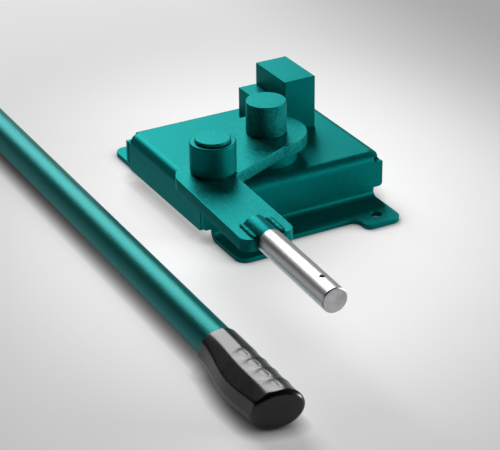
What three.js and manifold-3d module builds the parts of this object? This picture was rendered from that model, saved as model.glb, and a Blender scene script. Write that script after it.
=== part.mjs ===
// Bench rebar bender: a folded steel base with a dog-leg arm that turns on the shank of a
// fixed mandrel, a roller on the arm that pushes the bar round the mandrel, a tall block that
// holds the bar back, a low block that it rests on, and a loose lever that slips over the
// arm's stub. The base stands with its long walls front and back, and the front is at minus Y.
import * as THREE from "three";
import { mergeVertices } from "three/addons/utils/BufferGeometryUtils.js";
import Module from "manifold-3d";

const wasm = await Module();
wasm.setup();

// All lengths are in millimetres and all angles in degrees.

// Clearances
const running_clearance = 0.3;
const bolt_clearance = 0.5;
const cut_overrun = 1;

// Base, one folded sheet
const sheet_thickness = 5;
const base_width = 200;
const base_depth = 170;
const base_height = 50;
const bend_outer_radius = 10;
const tab_bottom_height = 13;
const tab_corner_radius = 4;
const neck_inset = 10;
const flap_bottom_height = 10;
const flap_corner_radius = 3;
const flap_end_gap = 1.5;
const flange_reach = 35;
const flange_lap = 5;
const ear_reach = 55;
const ear_width = 41;
const ear_outer_radius = 11;
const ear_inner_radius = 7;
const ear_root_radius = 8;
const ear_hole_diameter = 11;
const ear_hole_side_inset = 20;
const ear_hole_tip_inset = 18;

// Pivot: boss, washer and the mandrel with its journal and shank
const pivot_x = -5.5;
const pivot_y = -38;
const boss_diameter = 60;
const boss_height = 14.5;
const thrust_washer_diameter = 56;
const thrust_washer_thickness = 1.2;
const mandrel_diameter = 40;
const mandrel_height = 32.4;
const mandrel_edge = 1;
const journal_diameter = 28;
const bush_wall = 3;
const shank_diameter = 20;
const shank_end_chamfer = 2;
const shank_end_length = 3;
const pivot_washer_diameter = 44;
const pivot_washer_thickness = 4;
const pivot_nut_width = 30;
const pivot_nut_height = 16;

// Blocks that hold and carry the bar
const bar_gap = 23;
const block_front_y = 1;
const block_depth = 60;
const stop_width = 35;
const stop_height = 55;
const rest_width = 20;
const rest_height = 32;
const block_edge = 0.8;

// Block bolts
const bolt_diameter = 10;
const bolt_spacing = 34;
const bolt_bite = 18;
const bolt_hole_spare = 3;
const bolt_head_width = 16;
const bolt_head_height = 6.4;
const bolt_washer_diameter = 20;
const bolt_washer_thickness = 2;

// Arm
const arm_rest_angle = -2;
const arm_thickness = 12;
const arm_width = 52;
const lobe_diameter = 80;
const leg_angle = 27;
const leg_back_offset = 17;
const handle_offset = 96;
const arm_reach = 196.5;
const arm_elbow_radius = 26;
const arm_end_radius = 10;
const arm_crook_radius = 3;

// Stub and its welds
const stub_diameter = 24;
const stub_protrusion = 117;
const stub_seat_length = 32;
const stub_chamfer = 1;
const stub_hole_diameter = 5.5;
const stub_hole_inset = 23;
const weld_length = 29;
const weld_width = 6;
const weld_height = 3.2;

// Roller on its pin
const roller_distance = 102;
const roller_angle = 214;
const roller_diameter = 44;
const roller_height = 30;
const roller_edge = 1.2;
const roller_bush_wall = 2.5;
const roller_washer_diameter = 34;
const roller_washer_thickness = 1;
const pin_diameter = 20;
const pin_head_diameter = 34;
const pin_head_thickness = 3.2;
const pin_head_edge = 0.8;
const pin_washer_diameter = 32;
const pin_washer_thickness = 2;
const pin_groove_depth = 1.2;
const pin_ring_width = 4;
const pin_ring_thickness = 1.6;
const pin_ring_gap = 5;
const pin_tip_length = 1.6;

// Loose lever
const lever_x = -191.8;
const lever_front_y = -402;
const lever_turn = -0.61;
const tube_diameter = 33.7;
const tube_wall = 4;
const tube_length = 992;
const grip_length = 112;
const grip_end_wall = 8;
const grip_end_half_width = 23.2;
const grip_end_swell = 3.6;
const grip_middle_half_width = 24.1;
const grip_middle_swell = 4.8;
const grip_mouth_half_width = 20.3;
const grip_mouth_swell = 1.5;
const grip_half_height = 18.7;
const grip_middle_share = 0.44;
const grip_palm_angle = 196;
const grip_end_radius = 6;
const grip_end_slant_share = 0.26;
const grip_slant_reach = 40;
const grip_mouth_radius = 2.5;
const finger_count = 4;
const finger_pitch = 18;
const finger_first = 14.1;
const finger_depth = 1.1;
const finger_angle = 20;
const finger_span = 78;
const facet_length = 92;
const facet_depth = 1.6;
const facet_middle = 62;
const facet_angle = 135;

// Facets on round pieces
const large_facets = 48;
const round_facets = 36;
const small_facets = 24;
const bend_facets = 4;
const hex_facets = 6;
const grip_facets = 36;
const grip_end_rings = 4;
const grip_body_rings = 24;

// Values worked out from the sizes above
const half_width = base_width / 2;
const half_depth = base_depth / 2;
const bend_inner_radius = bend_outer_radius - sheet_thickness;
const bend_start_height = base_height - bend_outer_radius;
const foot_half_width = half_width - neck_inset;
const flange_start = half_depth + bend_inner_radius;
const plate_underside = base_height - sheet_thickness;
const boss_top = base_height + boss_height;
const arm_bottom = boss_top + thrust_washer_thickness + running_clearance;
const mandrel_bottom = arm_bottom + arm_thickness + running_clearance;
const pivot_washer_bottom = plate_underside - pivot_washer_thickness;
const pivot_nut_bottom = pivot_washer_bottom - pivot_nut_height;
const stop_left_x = pivot_x + mandrel_diameter / 2 + bar_gap;
const stop_centre_x = stop_left_x + stop_width / 2;
const rest_right_x = stop_left_x - running_clearance;
const rest_centre_x = rest_right_x - rest_width / 2;
const block_centre_y = block_front_y + block_depth / 2;
const roller_bottom = arm_thickness + roller_washer_thickness + 2 * running_clearance;
const roller_top = roller_bottom + roller_height;
const pin_head_bottom = roller_top + running_clearance;
const pin_washer_bottom = -running_clearance - pin_washer_thickness;
const pin_ring_bottom = pin_washer_bottom - running_clearance - pin_ring_thickness;
const roller_x = roller_distance * Math.cos(THREE.MathUtils.degToRad(roller_angle));
const roller_y = roller_distance * Math.sin(THREE.MathUtils.degToRad(roller_angle));
const grip_bore_radius = tube_diameter / 2 + running_clearance;
const bolt_places = [
    [stop_centre_x, block_centre_y - bolt_spacing / 2],
    [stop_centre_x, block_centre_y + bolt_spacing / 2],
    [rest_centre_x, block_centre_y - bolt_spacing / 2],
    [rest_centre_x, block_centre_y + bolt_spacing / 2],
];

// Finishes
const finishes = {
    paint: { color: 0x0c8f88, roughness: 0.45, metalness: 0.1 },
    steel: { color: 0xc9cccd, roughness: 0.25, metalness: 1 },
    zinc: { color: 0xa9adb0, roughness: 0.4, metalness: 0.9 },
    bronze: { color: 0x9a7440, roughness: 0.4, metalness: 1 },
    rubber: { color: 0x17181a, roughness: 0.55, metalness: 0 },
};

// Booleans on closed meshes
function solid_of(geometry) {
    const bare = new THREE.BufferGeometry();
    bare.setAttribute("position", geometry.getAttribute("position"));
    bare.setIndex(geometry.getIndex());
    const merged = mergeVertices(bare);
    const index = merged.getIndex().array;
    const kept = [];
    for (let i = 0; i < index.length; i += 3) {
        const [a, b, c] = index.slice(i, i + 3);
        if (a !== b && b !== c && c !== a) {
            kept.push(a, b, c);
        }
    }
    const mesh = new wasm.Mesh({
        numProp: 3,
        vertProperties: new Float32Array(merged.getAttribute("position").array),
        triVerts: new Uint32Array(kept),
    });
    return new wasm.Manifold(mesh);
}

function geometry_of(solid) {
    const mesh = solid.getMesh();
    const geometry = new THREE.BufferGeometry();
    geometry.setAttribute("position", new THREE.BufferAttribute(mesh.vertProperties, 3));
    geometry.setIndex(new THREE.BufferAttribute(mesh.triVerts, 1));
    return geometry;
}

function join(...geometries) {
    const solids = geometries.map(solid_of);
    return geometry_of(solids.reduce((whole, piece) => whole.add(piece)));
}

function cut(geometry, ...tools) {
    const start = solid_of(geometry);
    return geometry_of(tools.map(solid_of).reduce((rest, tool) => rest.subtract(tool), start));
}

// Shapes
function rounded_shape(corners) {
    const shape = new THREE.Shape();
    const points = corners.map(([x, y]) => new THREE.Vector2(x, y));
    const draw_to = (point, i) => {
        if (i === 0) {
            shape.moveTo(point.x, point.y);
        } else {
            shape.lineTo(point.x, point.y);
        }
    };
    points.forEach((here, i) => {
        const radius = corners[i][2] ?? 0;
        if (radius === 0) {
            draw_to(here, i);
            return;
        }
        const back = points.at(i - 1).clone().sub(here).normalize();
        const ahead = points[(i + 1) % points.length].clone().sub(here).normalize();
        const half_angle = Math.acos(back.dot(ahead)) / 2;
        const middle = back.clone().add(ahead).normalize();
        const centre = here.clone().addScaledVector(middle, radius / Math.sin(half_angle));
        const setback = radius / Math.tan(half_angle);
        const first = here.clone().addScaledVector(back, setback).sub(centre);
        const last = here.clone().addScaledVector(ahead, setback).sub(centre);
        const clockwise = back.cross(ahead) > 0;
        draw_to(centre.clone().add(first), i);
        shape.absarc(centre.x, centre.y, radius, first.angle(), last.angle(), clockwise);
    });
    return shape;
}

function prism(shape, bottom, top) {
    const settings = { depth: top - bottom, bevelEnabled: false, curveSegments: bend_facets };
    return new THREE.ExtrudeGeometry(shape, settings).translate(0, 0, bottom);
}

// A profile drawn in Y and Z, drawn out along X
function along_x(shape, from, to) {
    const turn = new THREE.Matrix4().makeBasis(
        new THREE.Vector3(0, 1, 0),
        new THREE.Vector3(0, 0, 1),
        new THREE.Vector3(1, 0, 0),
    );
    return prism(shape, from, to).applyMatrix4(turn);
}

// A profile drawn in X and Z, drawn out along Y
function along_y(shape, from, to) {
    const turn = new THREE.Matrix4().makeBasis(
        new THREE.Vector3(1, 0, 0),
        new THREE.Vector3(0, 0, 1),
        new THREE.Vector3(0, -1, 0),
    );
    return prism(shape, -to, -from).applyMatrix4(turn);
}

function block(x0, x1, y0, y1, z0, z1) {
    const box = new THREE.BoxGeometry(x1 - x0, y1 - y0, z1 - z0);
    return box.translate((x0 + x1) / 2, (y0 + y1) / 2, (z0 + z1) / 2);
}

// A profile of radius and height, turned about the upright axis
function turned(profile, facets = round_facets) {
    const points = profile.map(([radius, height]) => new THREE.Vector2(radius, height));
    return new THREE.LatheGeometry(points, facets).rotateX(Math.PI / 2);
}

// The same, turned about the Y axis
function turned_on_y(profile, facets = round_facets) {
    const points = profile.map(([radius, height]) => new THREE.Vector2(radius, height));
    return new THREE.LatheGeometry(points, facets);
}

function ring_profile(inner, outer, bottom, top, edge = 0) {
    const corner = edge > 0 ? [[outer, top - edge], [outer - edge, top]] : [[outer, top]];
    return [[inner, bottom], [outer, bottom], ...corner, [inner, top], [inner, bottom]];
}

function rod(diameter, bottom, top, facets = small_facets) {
    const radius = diameter / 2;
    return turned([[0, bottom], [radius, bottom], [radius, top], [0, top]], facets);
}

function hex_outline(width) {
    const corner_radius = width / 2 / Math.cos(Math.PI / hex_facets);
    const shape = new THREE.Shape();
    for (let i = 0; i < hex_facets; i += 1) {
        const angle = (i * 2 * Math.PI) / hex_facets;
        const x = corner_radius * Math.cos(angle);
        const y = corner_radius * Math.sin(angle);
        if (i === 0) {
            shape.moveTo(x, y);
        } else {
            shape.lineTo(x, y);
        }
    }
    return shape;
}

function piece(name, geometry, finish, x = 0, y = 0, z = 0) {
    const mesh = new THREE.Mesh(geometry, new THREE.MeshStandardMaterial(finish));
    mesh.name = name;
    mesh.position.set(x, y, z);
    return mesh;
}

// Base: the plate with both long walls and their feet, as one profile
function long_profile() {
    const wall_in = half_depth - sheet_thickness;
    const bend_y = half_depth - bend_outer_radius;
    const foot_bend_height = sheet_thickness + bend_inner_radius;
    const lap_y = flange_start + flange_lap;
    const right = Math.PI / 2;
    const shape = new THREE.Shape();
    shape.moveTo(-lap_y, 0);
    shape.lineTo(-flange_start, 0);
    shape.absarc(-flange_start, foot_bend_height, bend_outer_radius, -right, 0, false);
    shape.lineTo(-wall_in, bend_start_height);
    shape.absarc(-bend_y, bend_start_height, bend_inner_radius, 2 * right, right, true);
    shape.lineTo(bend_y, plate_underside);
    shape.absarc(bend_y, bend_start_height, bend_inner_radius, right, 0, true);
    shape.lineTo(wall_in, foot_bend_height);
    shape.absarc(flange_start, foot_bend_height, bend_outer_radius, 2 * right, 3 * right, false);
    shape.lineTo(lap_y, 0);
    shape.lineTo(lap_y, sheet_thickness);
    shape.absarc(flange_start, foot_bend_height, bend_inner_radius, 3 * right, 2 * right, true);
    shape.lineTo(half_depth, bend_start_height);
    shape.absarc(bend_y, bend_start_height, bend_outer_radius, 0, right, false);
    shape.lineTo(-bend_y, base_height);
    shape.absarc(-bend_y, bend_start_height, bend_outer_radius, right, 2 * right, false);
    shape.lineTo(-half_depth, foot_bend_height);
    shape.absarc(-flange_start, foot_bend_height, bend_inner_radius, 0, -right, true);
    shape.lineTo(-lap_y, sheet_thickness);
    return shape;
}

// Base: the plate with both end flaps, as one profile
function end_profile() {
    const flap_in = half_width - sheet_thickness;
    const bend_x = half_width - bend_outer_radius;
    const right = Math.PI / 2;
    const shape = new THREE.Shape();
    shape.moveTo(-flap_in, bend_start_height);
    shape.absarc(-bend_x, bend_start_height, bend_inner_radius, 2 * right, right, true);
    shape.lineTo(bend_x, plate_underside);
    shape.absarc(bend_x, bend_start_height, bend_inner_radius, right, 0, true);
    shape.lineTo(half_width, bend_start_height);
    shape.absarc(bend_x, bend_start_height, bend_outer_radius, 0, right, false);
    shape.lineTo(-bend_x, base_height);
    shape.absarc(-bend_x, bend_start_height, bend_outer_radius, right, 2 * right, false);
    return shape;
}

function flange_with_ears(side) {
    const tip_y = side * (half_depth + ear_reach);
    const edge_y = side * (half_depth + flange_reach);
    const start_y = side * flange_start;
    const ear_in = foot_half_width - ear_width;
    const outline = rounded_shape([
        [-foot_half_width, start_y],
        [-foot_half_width, tip_y, ear_outer_radius],
        [-ear_in, tip_y, ear_inner_radius],
        [-ear_in, edge_y, ear_root_radius],
        [ear_in, edge_y, ear_root_radius],
        [ear_in, tip_y, ear_inner_radius],
        [foot_half_width, tip_y, ear_outer_radius],
        [foot_half_width, start_y],
    ]);
    return prism(outline, 0, sheet_thickness);
}

function base_shell() {
    const walls = along_x(long_profile(), -foot_half_width, foot_half_width);
    const bend_end_y = half_depth - bend_outer_radius;
    const ends = along_y(end_profile(), -bend_end_y, bend_end_y);
    const tab_outline = rounded_shape([
        [-half_width, tab_bottom_height, tab_corner_radius],
        [half_width, tab_bottom_height, tab_corner_radius],
        [half_width, bend_start_height],
        [-half_width, bend_start_height],
    ]);
    const wall_in = half_depth - sheet_thickness;
    const flap_end_y = wall_in - flap_end_gap;
    const flap_outline = rounded_shape([
        [-flap_end_y, flap_bottom_height, flap_corner_radius],
        [flap_end_y, flap_bottom_height, flap_corner_radius],
        [flap_end_y, bend_start_height],
        [-flap_end_y, bend_start_height],
    ]);
    const flap_in = half_width - sheet_thickness;
    const whole = join(
        walls,
        ends,
        along_y(tab_outline, wall_in, half_depth),
        along_y(tab_outline, -half_depth, -wall_in),
        along_x(flap_outline, flap_in, half_width),
        along_x(flap_outline, -half_width, -flap_in),
        flange_with_ears(-1),
        flange_with_ears(1),
    );
    const plate_cuts = bolt_places.map(([x, y]) => {
        const hole = rod(bolt_diameter + 2 * bolt_clearance, plate_underside - cut_overrun,
            base_height + cut_overrun);
        return hole.translate(x, y, 0);
    });
    const pivot_hole = rod(shank_diameter + 2 * running_clearance, plate_underside - cut_overrun,
        base_height + cut_overrun).translate(pivot_x, pivot_y, 0);
    const ear_x = foot_half_width - ear_hole_side_inset;
    const ear_y = half_depth + ear_reach - ear_hole_tip_inset;
    const ear_cuts = [[-ear_x, -ear_y], [ear_x, -ear_y], [ear_x, ear_y], [-ear_x, ear_y]];
    const ear_holes = ear_cuts.map(([x, y]) => {
        const hole = rod(ear_hole_diameter, -cut_overrun, sheet_thickness + cut_overrun);
        return hole.translate(x, y, 0);
    });
    return piece("base_shell", cut(whole, pivot_hole, ...plate_cuts, ...ear_holes), finishes.paint);
}

// Pivot pieces that stay with the base
function pivot_boss() {
    const bore = shank_diameter / 2 + running_clearance;
    const profile = ring_profile(bore, boss_diameter / 2, base_height, boss_top);
    return piece("pivot_boss", turned(profile), finishes.paint, pivot_x, pivot_y);
}

function thrust_washer() {
    const bore = journal_diameter / 2 + running_clearance;
    const top = boss_top + thrust_washer_thickness;
    const profile = ring_profile(bore, thrust_washer_diameter / 2, boss_top, top);
    return piece("thrust_washer", turned(profile), finishes.bronze, pivot_x, pivot_y);
}

function mandrel() {
    const head = mandrel_diameter / 2;
    const journal = journal_diameter / 2;
    const shank = shank_diameter / 2;
    const top = mandrel_bottom + mandrel_height;
    const tip = pivot_nut_bottom - shank_end_length;
    const profile = [
        [0, tip],
        [shank - shank_end_chamfer, tip],
        [shank, tip + shank_end_chamfer],
        [shank, boss_top],
        [journal, boss_top],
        [journal, mandrel_bottom],
        [head, mandrel_bottom],
        [head, top - mandrel_edge],
        [head - mandrel_edge, top],
        [0, top],
    ];
    return piece("mandrel", turned(profile, large_facets), finishes.paint, pivot_x, pivot_y);
}

function pivot_washer() {
    const bore = shank_diameter / 2 + running_clearance;
    const outer = pivot_washer_diameter / 2;
    const profile = ring_profile(bore, outer, pivot_washer_bottom, plate_underside);
    return piece("pivot_washer", turned(profile), finishes.zinc, pivot_x, pivot_y);
}

function pivot_nut() {
    const body = prism(hex_outline(pivot_nut_width), pivot_nut_bottom, pivot_washer_bottom);
    const bore = rod(shank_diameter + 2 * running_clearance, pivot_nut_bottom - cut_overrun,
        pivot_washer_bottom + cut_overrun);
    return piece("pivot_nut", cut(body, bore), finishes.zinc, pivot_x, pivot_y);
}

// Blocks with their bolts from below
function bar_block(name, centre_x, width, height) {
    const outline = rounded_shape([
        [centre_x - width / 2, block_front_y, block_edge],
        [centre_x + width / 2, block_front_y, block_edge],
        [centre_x + width / 2, block_front_y + block_depth, block_edge],
        [centre_x - width / 2, block_front_y + block_depth, block_edge],
    ]);
    const hole_top = base_height + bolt_bite + bolt_hole_spare;
    const holes = bolt_places.filter(([x]) => x === centre_x).map(([x, y]) => {
        const hole = rod(bolt_diameter + 2 * running_clearance, base_height - cut_overrun, hole_top);
        return hole.translate(x, y, 0);
    });
    const body = prism(outline, base_height, base_height + height);
    return piece(name, cut(body, ...holes), finishes.paint);
}

function block_bolt(name, x, y) {
    const head_top = plate_underside - bolt_washer_thickness;
    const head = prism(hex_outline(bolt_head_width), head_top - bolt_head_height, head_top);
    const shank = rod(bolt_diameter, head_top - bolt_head_height / 2, base_height + bolt_bite);
    return piece(name, join(head, shank), finishes.zinc, x, y);
}

function block_washer(name, x, y) {
    const bore = bolt_diameter / 2 + running_clearance;
    const bottom = plate_underside - bolt_washer_thickness;
    const profile = ring_profile(bore, bolt_washer_diameter / 2, bottom, plate_underside);
    return piece(name, turned(profile, small_facets), finishes.zinc, x, y);
}

function blocks_and_bolts() {
    const names = ["stop_bolt_front", "stop_bolt_rear", "rest_bolt_front", "rest_bolt_rear"];
    const group = new THREE.Group();
    group.add(bar_block("bar_stop", stop_centre_x, stop_width, stop_height));
    group.add(bar_block("bar_rest", rest_centre_x, rest_width, rest_height));
    names.forEach((name, i) => {
        const [x, y] = bolt_places[i];
        group.add(block_bolt(name, x, y));
        group.add(block_washer(name.replace("bolt", "washer"), x, y));
    });
    return group;
}

// Arm, in its own frame: the pivot at the origin, the handle end towards minus Y
function arm_outline() {
    const lean = THREE.MathUtils.degToRad(leg_angle);
    const along = new THREE.Vector2(-Math.cos(lean), -Math.sin(lean));
    const across = new THREE.Vector2(-Math.sin(lean), Math.cos(lean));
    const on_edge_at_x = (offset, x) => {
        const start = across.clone().multiplyScalar(offset);
        return start.addScaledVector(along, (x - start.x) / along.x).toArray();
    };
    const left = -handle_offset - arm_width / 2;
    const right = -handle_offset + arm_width / 2;
    const front_offset = leg_back_offset - arm_width;
    return rounded_shape([
        across.clone().multiplyScalar(leg_back_offset).toArray(),
        [...on_edge_at_x(leg_back_offset, left), arm_elbow_radius],
        [left, -arm_reach, arm_end_radius],
        [right, -arm_reach, arm_end_radius],
        [...on_edge_at_x(front_offset, right), arm_crook_radius],
        across.clone().multiplyScalar(front_offset).toArray(),
    ]);
}

function arm_plate() {
    const lobe = rod(lobe_diameter, 0, arm_thickness, large_facets);
    const body = join(prism(arm_outline(), 0, arm_thickness), lobe);
    const bush_hole = rod(journal_diameter + 2 * bush_wall + 4 * running_clearance, -cut_overrun,
        arm_thickness + cut_overrun, round_facets);
    const pin_hole = rod(pin_diameter + 2 * running_clearance, -cut_overrun,
        arm_thickness + cut_overrun).translate(roller_x, roller_y, 0);
    const slot_half = stub_diameter / 2 + running_clearance;
    const slot = block(-handle_offset - slot_half, -handle_offset + slot_half,
        -arm_reach - cut_overrun, -arm_reach + stub_seat_length, -cut_overrun,
        arm_thickness + cut_overrun);
    return piece("arm_plate", cut(body, bush_hole, pin_hole, slot), finishes.paint);
}

function arm_bush() {
    const bore = journal_diameter / 2 + running_clearance;
    const profile = ring_profile(bore, bore + bush_wall, 0, arm_thickness);
    return piece("arm_bush", turned(profile), finishes.bronze);
}

function stub_shaft() {
    const radius = stub_diameter / 2;
    const length = stub_protrusion + stub_seat_length - running_clearance;
    const profile = [
        [0, 0],
        [radius - stub_chamfer, 0],
        [radius, stub_chamfer],
        [radius, length],
        [0, length],
    ];
    const hole = rod(stub_hole_diameter, -radius - cut_overrun, radius + cut_overrun)
        .translate(0, stub_hole_inset, 0);
    const shaft = cut(turned_on_y(profile), hole);
    const front_y = -arm_reach - stub_protrusion;
    return piece("stub_shaft", shaft, finishes.steel, -handle_offset, front_y, arm_thickness / 2);
}

function weld_bead(name, side) {
    const reach = stub_diameter / 2 + running_clearance;
    const foot = arm_thickness / 2 + running_clearance;
    const crest = foot + weld_height;
    const foot_in = Math.sqrt(reach ** 2 - foot ** 2);
    const crest_in = Math.sqrt(reach ** 2 - crest ** 2);
    const shape = new THREE.Shape();
    shape.moveTo(side * foot_in, foot);
    shape.lineTo(side * (foot_in + weld_width), foot);
    shape.quadraticCurveTo(side * (foot_in + weld_width), crest, side * crest_in, crest);
    shape.absarc(0, 0, reach, ...[crest, foot].map((height) => {
        const angle = Math.asin(height / reach);
        return side > 0 ? angle : Math.PI - angle;
    }), side > 0);
    const start = -arm_reach + (stub_seat_length - weld_length) / 2;
    const bead = along_y(shape, start, start + weld_length);
    return piece(name, bead, finishes.paint, -handle_offset, 0, arm_thickness / 2);
}

function roller_pin() {
    const shank = pin_diameter / 2;
    const head = pin_head_diameter / 2;
    const head_top = pin_head_bottom + pin_head_thickness;
    const groove_top = pin_washer_bottom;
    const groove_bottom = pin_ring_bottom - running_clearance;
    const profile = [
        [0, groove_bottom - pin_tip_length],
        [shank, groove_bottom - pin_tip_length],
        [shank, groove_bottom],
        [shank - pin_groove_depth, groove_bottom],
        [shank - pin_groove_depth, groove_top],
        [shank, groove_top],
        [shank, pin_head_bottom],
        [head, pin_head_bottom],
        [head, head_top - pin_head_edge],
        [head - pin_head_edge, head_top],
        [0, head_top],
    ];
    return piece("roller_pin", turned(profile), finishes.paint, roller_x, roller_y);
}

function pin_washer() {
    const bore = pin_diameter / 2 + running_clearance;
    const outer = pin_washer_diameter / 2;
    const profile = ring_profile(bore, outer, pin_washer_bottom, -running_clearance);
    return piece("pin_washer", turned(profile), finishes.zinc, roller_x, roller_y);
}

function pin_ring() {
    const bore = pin_diameter / 2 - pin_groove_depth + running_clearance;
    const outer = bore + pin_ring_width;
    const top = pin_ring_bottom + pin_ring_thickness;
    const ring = turned(ring_profile(bore, outer, pin_ring_bottom, top));
    const mouth = block(bore / 2, outer + cut_overrun, -pin_ring_gap / 2, pin_ring_gap / 2,
        pin_ring_bottom - cut_overrun, top + cut_overrun);
    return piece("pin_ring", cut(ring, mouth), finishes.steel, roller_x, roller_y);
}

function roller_washer() {
    const bore = pin_diameter / 2 + running_clearance;
    const bottom = arm_thickness + running_clearance;
    const top = bottom + roller_washer_thickness;
    const profile = ring_profile(bore, roller_washer_diameter / 2, bottom, top);
    return piece("roller_washer", turned(profile), finishes.bronze, roller_x, roller_y);
}

function bending_roller() {
    const bore = pin_diameter / 2 + roller_bush_wall + 2 * running_clearance;
    const outer = roller_diameter / 2;
    const profile = ring_profile(bore, outer, roller_bottom, roller_top, roller_edge);
    return piece("bending_roller", turned(profile, large_facets), finishes.paint, roller_x, roller_y);
}

function roller_bush() {
    const bore = pin_diameter / 2 + running_clearance;
    const outer = pin_diameter / 2 + roller_bush_wall + running_clearance;
    const profile = ring_profile(bore, outer, roller_bottom, roller_top);
    return piece("roller_bush", turned(profile, small_facets), finishes.bronze, roller_x, roller_y);
}

function arm() {
    const group = new THREE.Group();
    group.add(
        arm_plate(),
        arm_bush(),
        stub_shaft(),
        weld_bead("weld_bead_left", -1),
        weld_bead("weld_bead_right", 1),
        roller_pin(),
        pin_washer(),
        pin_ring(),
        roller_washer(),
        bending_roller(),
        roller_bush(),
    );
    group.position.set(pivot_x, pivot_y, arm_bottom);
    group.rotation.z = THREE.MathUtils.degToRad(arm_rest_angle);
    return group;
}

// Lever, in its own frame: the grip's end at the origin, the tube along Y
function lever_tube() {
    const outer = tube_diameter / 2;
    const start = grip_end_wall + running_clearance;
    const profile = ring_profile(outer - tube_wall, outer, start, start + tube_length);
    return piece("lever_tube", turned_on_y(profile), finishes.paint);
}

// Grip: an oval section that swells towards the palm, from its end to its mouth
function ease(from, to, share) {
    return from + (to - from) * (1 - Math.cos(Math.PI * share)) / 2;
}

function grip_section(along) {
    const middle = grip_length * grip_middle_share;
    if (along < middle) {
        const share = along / middle;
        return {
            half_width: ease(grip_end_half_width, grip_middle_half_width, share),
            swell: ease(grip_end_swell, grip_middle_swell, share),
        };
    }
    const share = (along - middle) / (grip_length - middle);
    return {
        half_width: ease(grip_middle_half_width, grip_mouth_half_width, share),
        swell: ease(grip_middle_swell, grip_mouth_swell, share),
    };
}

// How far the section reaches from the tube's axis in a direction, measured from plus X
function grip_reach(angle, along) {
    const { half_width, swell } = grip_section(along);
    const turn = THREE.MathUtils.degToRad(angle - grip_palm_angle);
    const across = grip_half_height * Math.sin(turn);
    return swell * Math.cos(turn) + Math.hypot(half_width * Math.cos(turn), across);
}

function finger_cut(angle, along) {
    const place = (along - finger_first) / finger_pitch;
    let off = THREE.MathUtils.euclideanModulo(angle - finger_angle, 360);
    off = Math.min(off, 360 - off);
    if (place < -0.5 || place > finger_count - 0.5 || off > finger_span) {
        return 0;
    }
    const round = Math.cos((off / finger_span) * (Math.PI / 2)) ** 2;
    return finger_depth * round * (1 + Math.cos(2 * Math.PI * place)) / 2;
}

function grip_ring(along, inset) {
    const { half_width, swell } = grip_section(along);
    const palm = THREE.MathUtils.degToRad(grip_palm_angle);
    const fade = Math.max(0, 1 - along / grip_slant_reach);
    const ring = [];
    for (let i = 0; i < grip_facets; i += 1) {
        const turn = (i * 2 * Math.PI) / grip_facets;
        const wide = swell + (half_width - inset) * Math.cos(turn);
        const high = (grip_half_height - inset) * Math.sin(turn);
        const point = new THREE.Vector2(wide, high).rotateAround(new THREE.Vector2(), palm);
        const angle = THREE.MathUtils.radToDeg(point.angle());
        point.setLength(point.length() - finger_cut(angle, along));
        ring.push(new THREE.Vector3(point.x, along + grip_end_slant_share * wide * fade, point.y));
    }
    return ring;
}

function skin(rings) {
    const count = rings[0].length;
    const first = new THREE.Vector3();
    const last = new THREE.Vector3();
    rings[0].forEach((point) => first.addScaledVector(point, 1 / count));
    rings.at(-1).forEach((point) => last.addScaledVector(point, 1 / count));
    const points = [...rings.flat(), first, last];
    const index = [];
    for (let j = 0; j < count; j += 1) {
        const next = (j + 1) % count;
        index.push(points.length - 2, j, next);
        for (let i = 0; i + 1 < rings.length; i += 1) {
            const low = i * count;
            const high = low + count;
            index.push(low + j, high + j, low + next, high + j, high + next, low + next);
        }
        const top = (rings.length - 1) * count;
        index.push(points.length - 1, top + next, top + j);
    }
    const geometry = new THREE.BufferGeometry().setFromPoints(points);
    geometry.setIndex(index);
    return geometry;
}

function lever_grip() {
    const rings = [];
    for (let i = 0; i < grip_end_rings; i += 1) {
        const angle = (i / grip_end_rings) * (Math.PI / 2);
        const along = grip_end_radius * (1 - Math.cos(angle));
        rings.push(grip_ring(along, grip_end_radius * (1 - Math.sin(angle))));
    }
    const body_end = grip_length - grip_mouth_radius;
    for (let i = 0; i <= grip_body_rings; i += 1) {
        const along = grip_end_radius + (body_end - grip_end_radius) * (i / grip_body_rings);
        rings.push(grip_ring(along, 0));
    }
    rings.push(grip_ring(grip_length, grip_mouth_radius / 2));
    const bore = turned_on_y([
        [0, grip_end_wall],
        [grip_bore_radius, grip_end_wall],
        [grip_bore_radius, grip_length + cut_overrun],
        [0, grip_length + cut_overrun],
    ]);
    const facet_radius = facet_length ** 2 / (8 * facet_depth);
    const facet_reach = grip_reach(facet_angle, facet_middle) - facet_depth;
    const facet = rod(2 * facet_radius, -grip_length, grip_length, 4 * large_facets);
    facet.translate(facet_reach + facet_radius, 0, 0);
    facet.rotateY(THREE.MathUtils.degToRad(-facet_angle));
    facet.translate(0, facet_middle, 0);
    return piece("lever_grip", cut(skin(rings), bore, facet), finishes.rubber);
}

// The lever lies on the grip's middle and on the tube's far end, so it leans a little
function lever() {
    const group = new THREE.Group();
    group.add(lever_tube(), lever_grip());
    const middle = grip_length * grip_middle_share;
    const drop = grip_reach(270, middle);
    const tail = grip_end_wall + running_clearance + tube_length;
    const lean = Math.asin((drop - tube_diameter / 2) / (tail - middle));
    group.rotation.set(-lean, 0, THREE.MathUtils.degToRad(lever_turn), "ZYX");
    group.position.set(lever_x, lever_front_y, drop * Math.cos(lean) + middle * Math.sin(lean));
    return group;
}

// Whole object, with its origin under the middle of its box
const model = new THREE.Group();
model.add(
    base_shell(),
    pivot_boss(),
    thrust_washer(),
    mandrel(),
    pivot_washer(),
    pivot_nut(),
    blocks_and_bolts(),
    arm(),
    lever(),
);
model.updateMatrixWorld(true);
const extent = new THREE.Box3().setFromObject(model, true);
const middle = extent.getCenter(new THREE.Vector3());
model.position.set(-middle.x, -middle.y, -extent.min.z);

export default model;
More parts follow.
